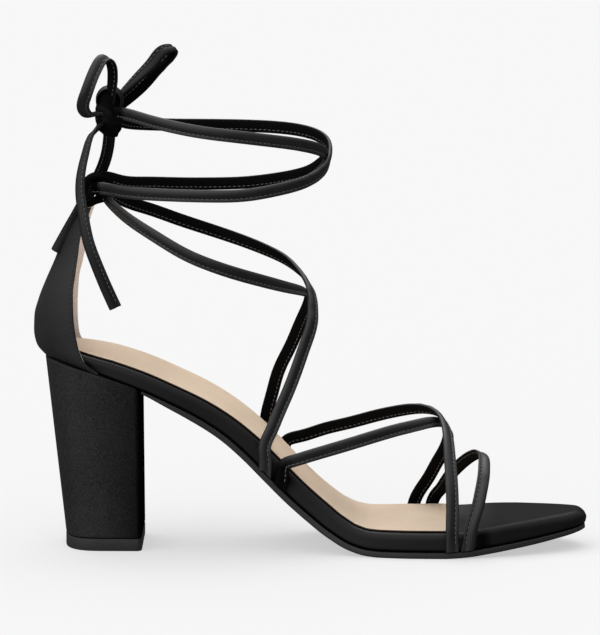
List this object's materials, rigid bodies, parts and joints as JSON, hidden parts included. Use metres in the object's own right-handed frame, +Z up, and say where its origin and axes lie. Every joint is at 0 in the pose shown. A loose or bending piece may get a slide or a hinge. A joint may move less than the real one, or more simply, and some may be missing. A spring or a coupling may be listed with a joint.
{
  "type": "block heel sandal",
  "caption": "Black high heel sandal for a left foot with a tall block heel, closed heel counter, narrow crossed straps over an open toe and ankle ties knotted in a bow.",
  "frame": {"origin": "on the floor, midway between heel back and toe tip and midway across the widest part of the straps", "axes": "+X from heel to toe, +Z up, +Y to the outer side of a left foot, so the inner side faces -Y"},
  "size_m": [0.2318, 0.0816, 0.2104],
  "materials": {
    "strap_leather": "smooth black imitation leather, folded and stitched, soft gloss",
    "upper_leather": "smooth black imitation leather, fine grain, soft gloss",
    "footbed_cover": "black imitation leather wrapped round the board",
    "heel_cover": "black imitation leather covering, satin with fine grain",
    "sock_leather": "matt beige lining sheet",
    "outsole_rubber": "matt black moulded sheet",
    "top_lift_rubber": "matt black moulded"
  },
  "bodies": {
    "root": {"top_lift": "top_lift_rubber", "heel_block": "heel_cover", "outsole": "outsole_rubber", "footbed": "footbed_cover", "sock_lining": "sock_leather", "heel_counter": "upper_leather", "forefoot_straps": "strap_leather", "toe_strap": "strap_leather", "instep_straps": "strap_leather", "ankle_ties": "strap_leather", "bow_knot": "strap_leather", "bow_loop_near": "strap_leather", "bow_loop_far": "strap_leather", "tie_end_near": "strap_leather", "tie_end_far": "strap_leather"}
  },
  "joints": []
}
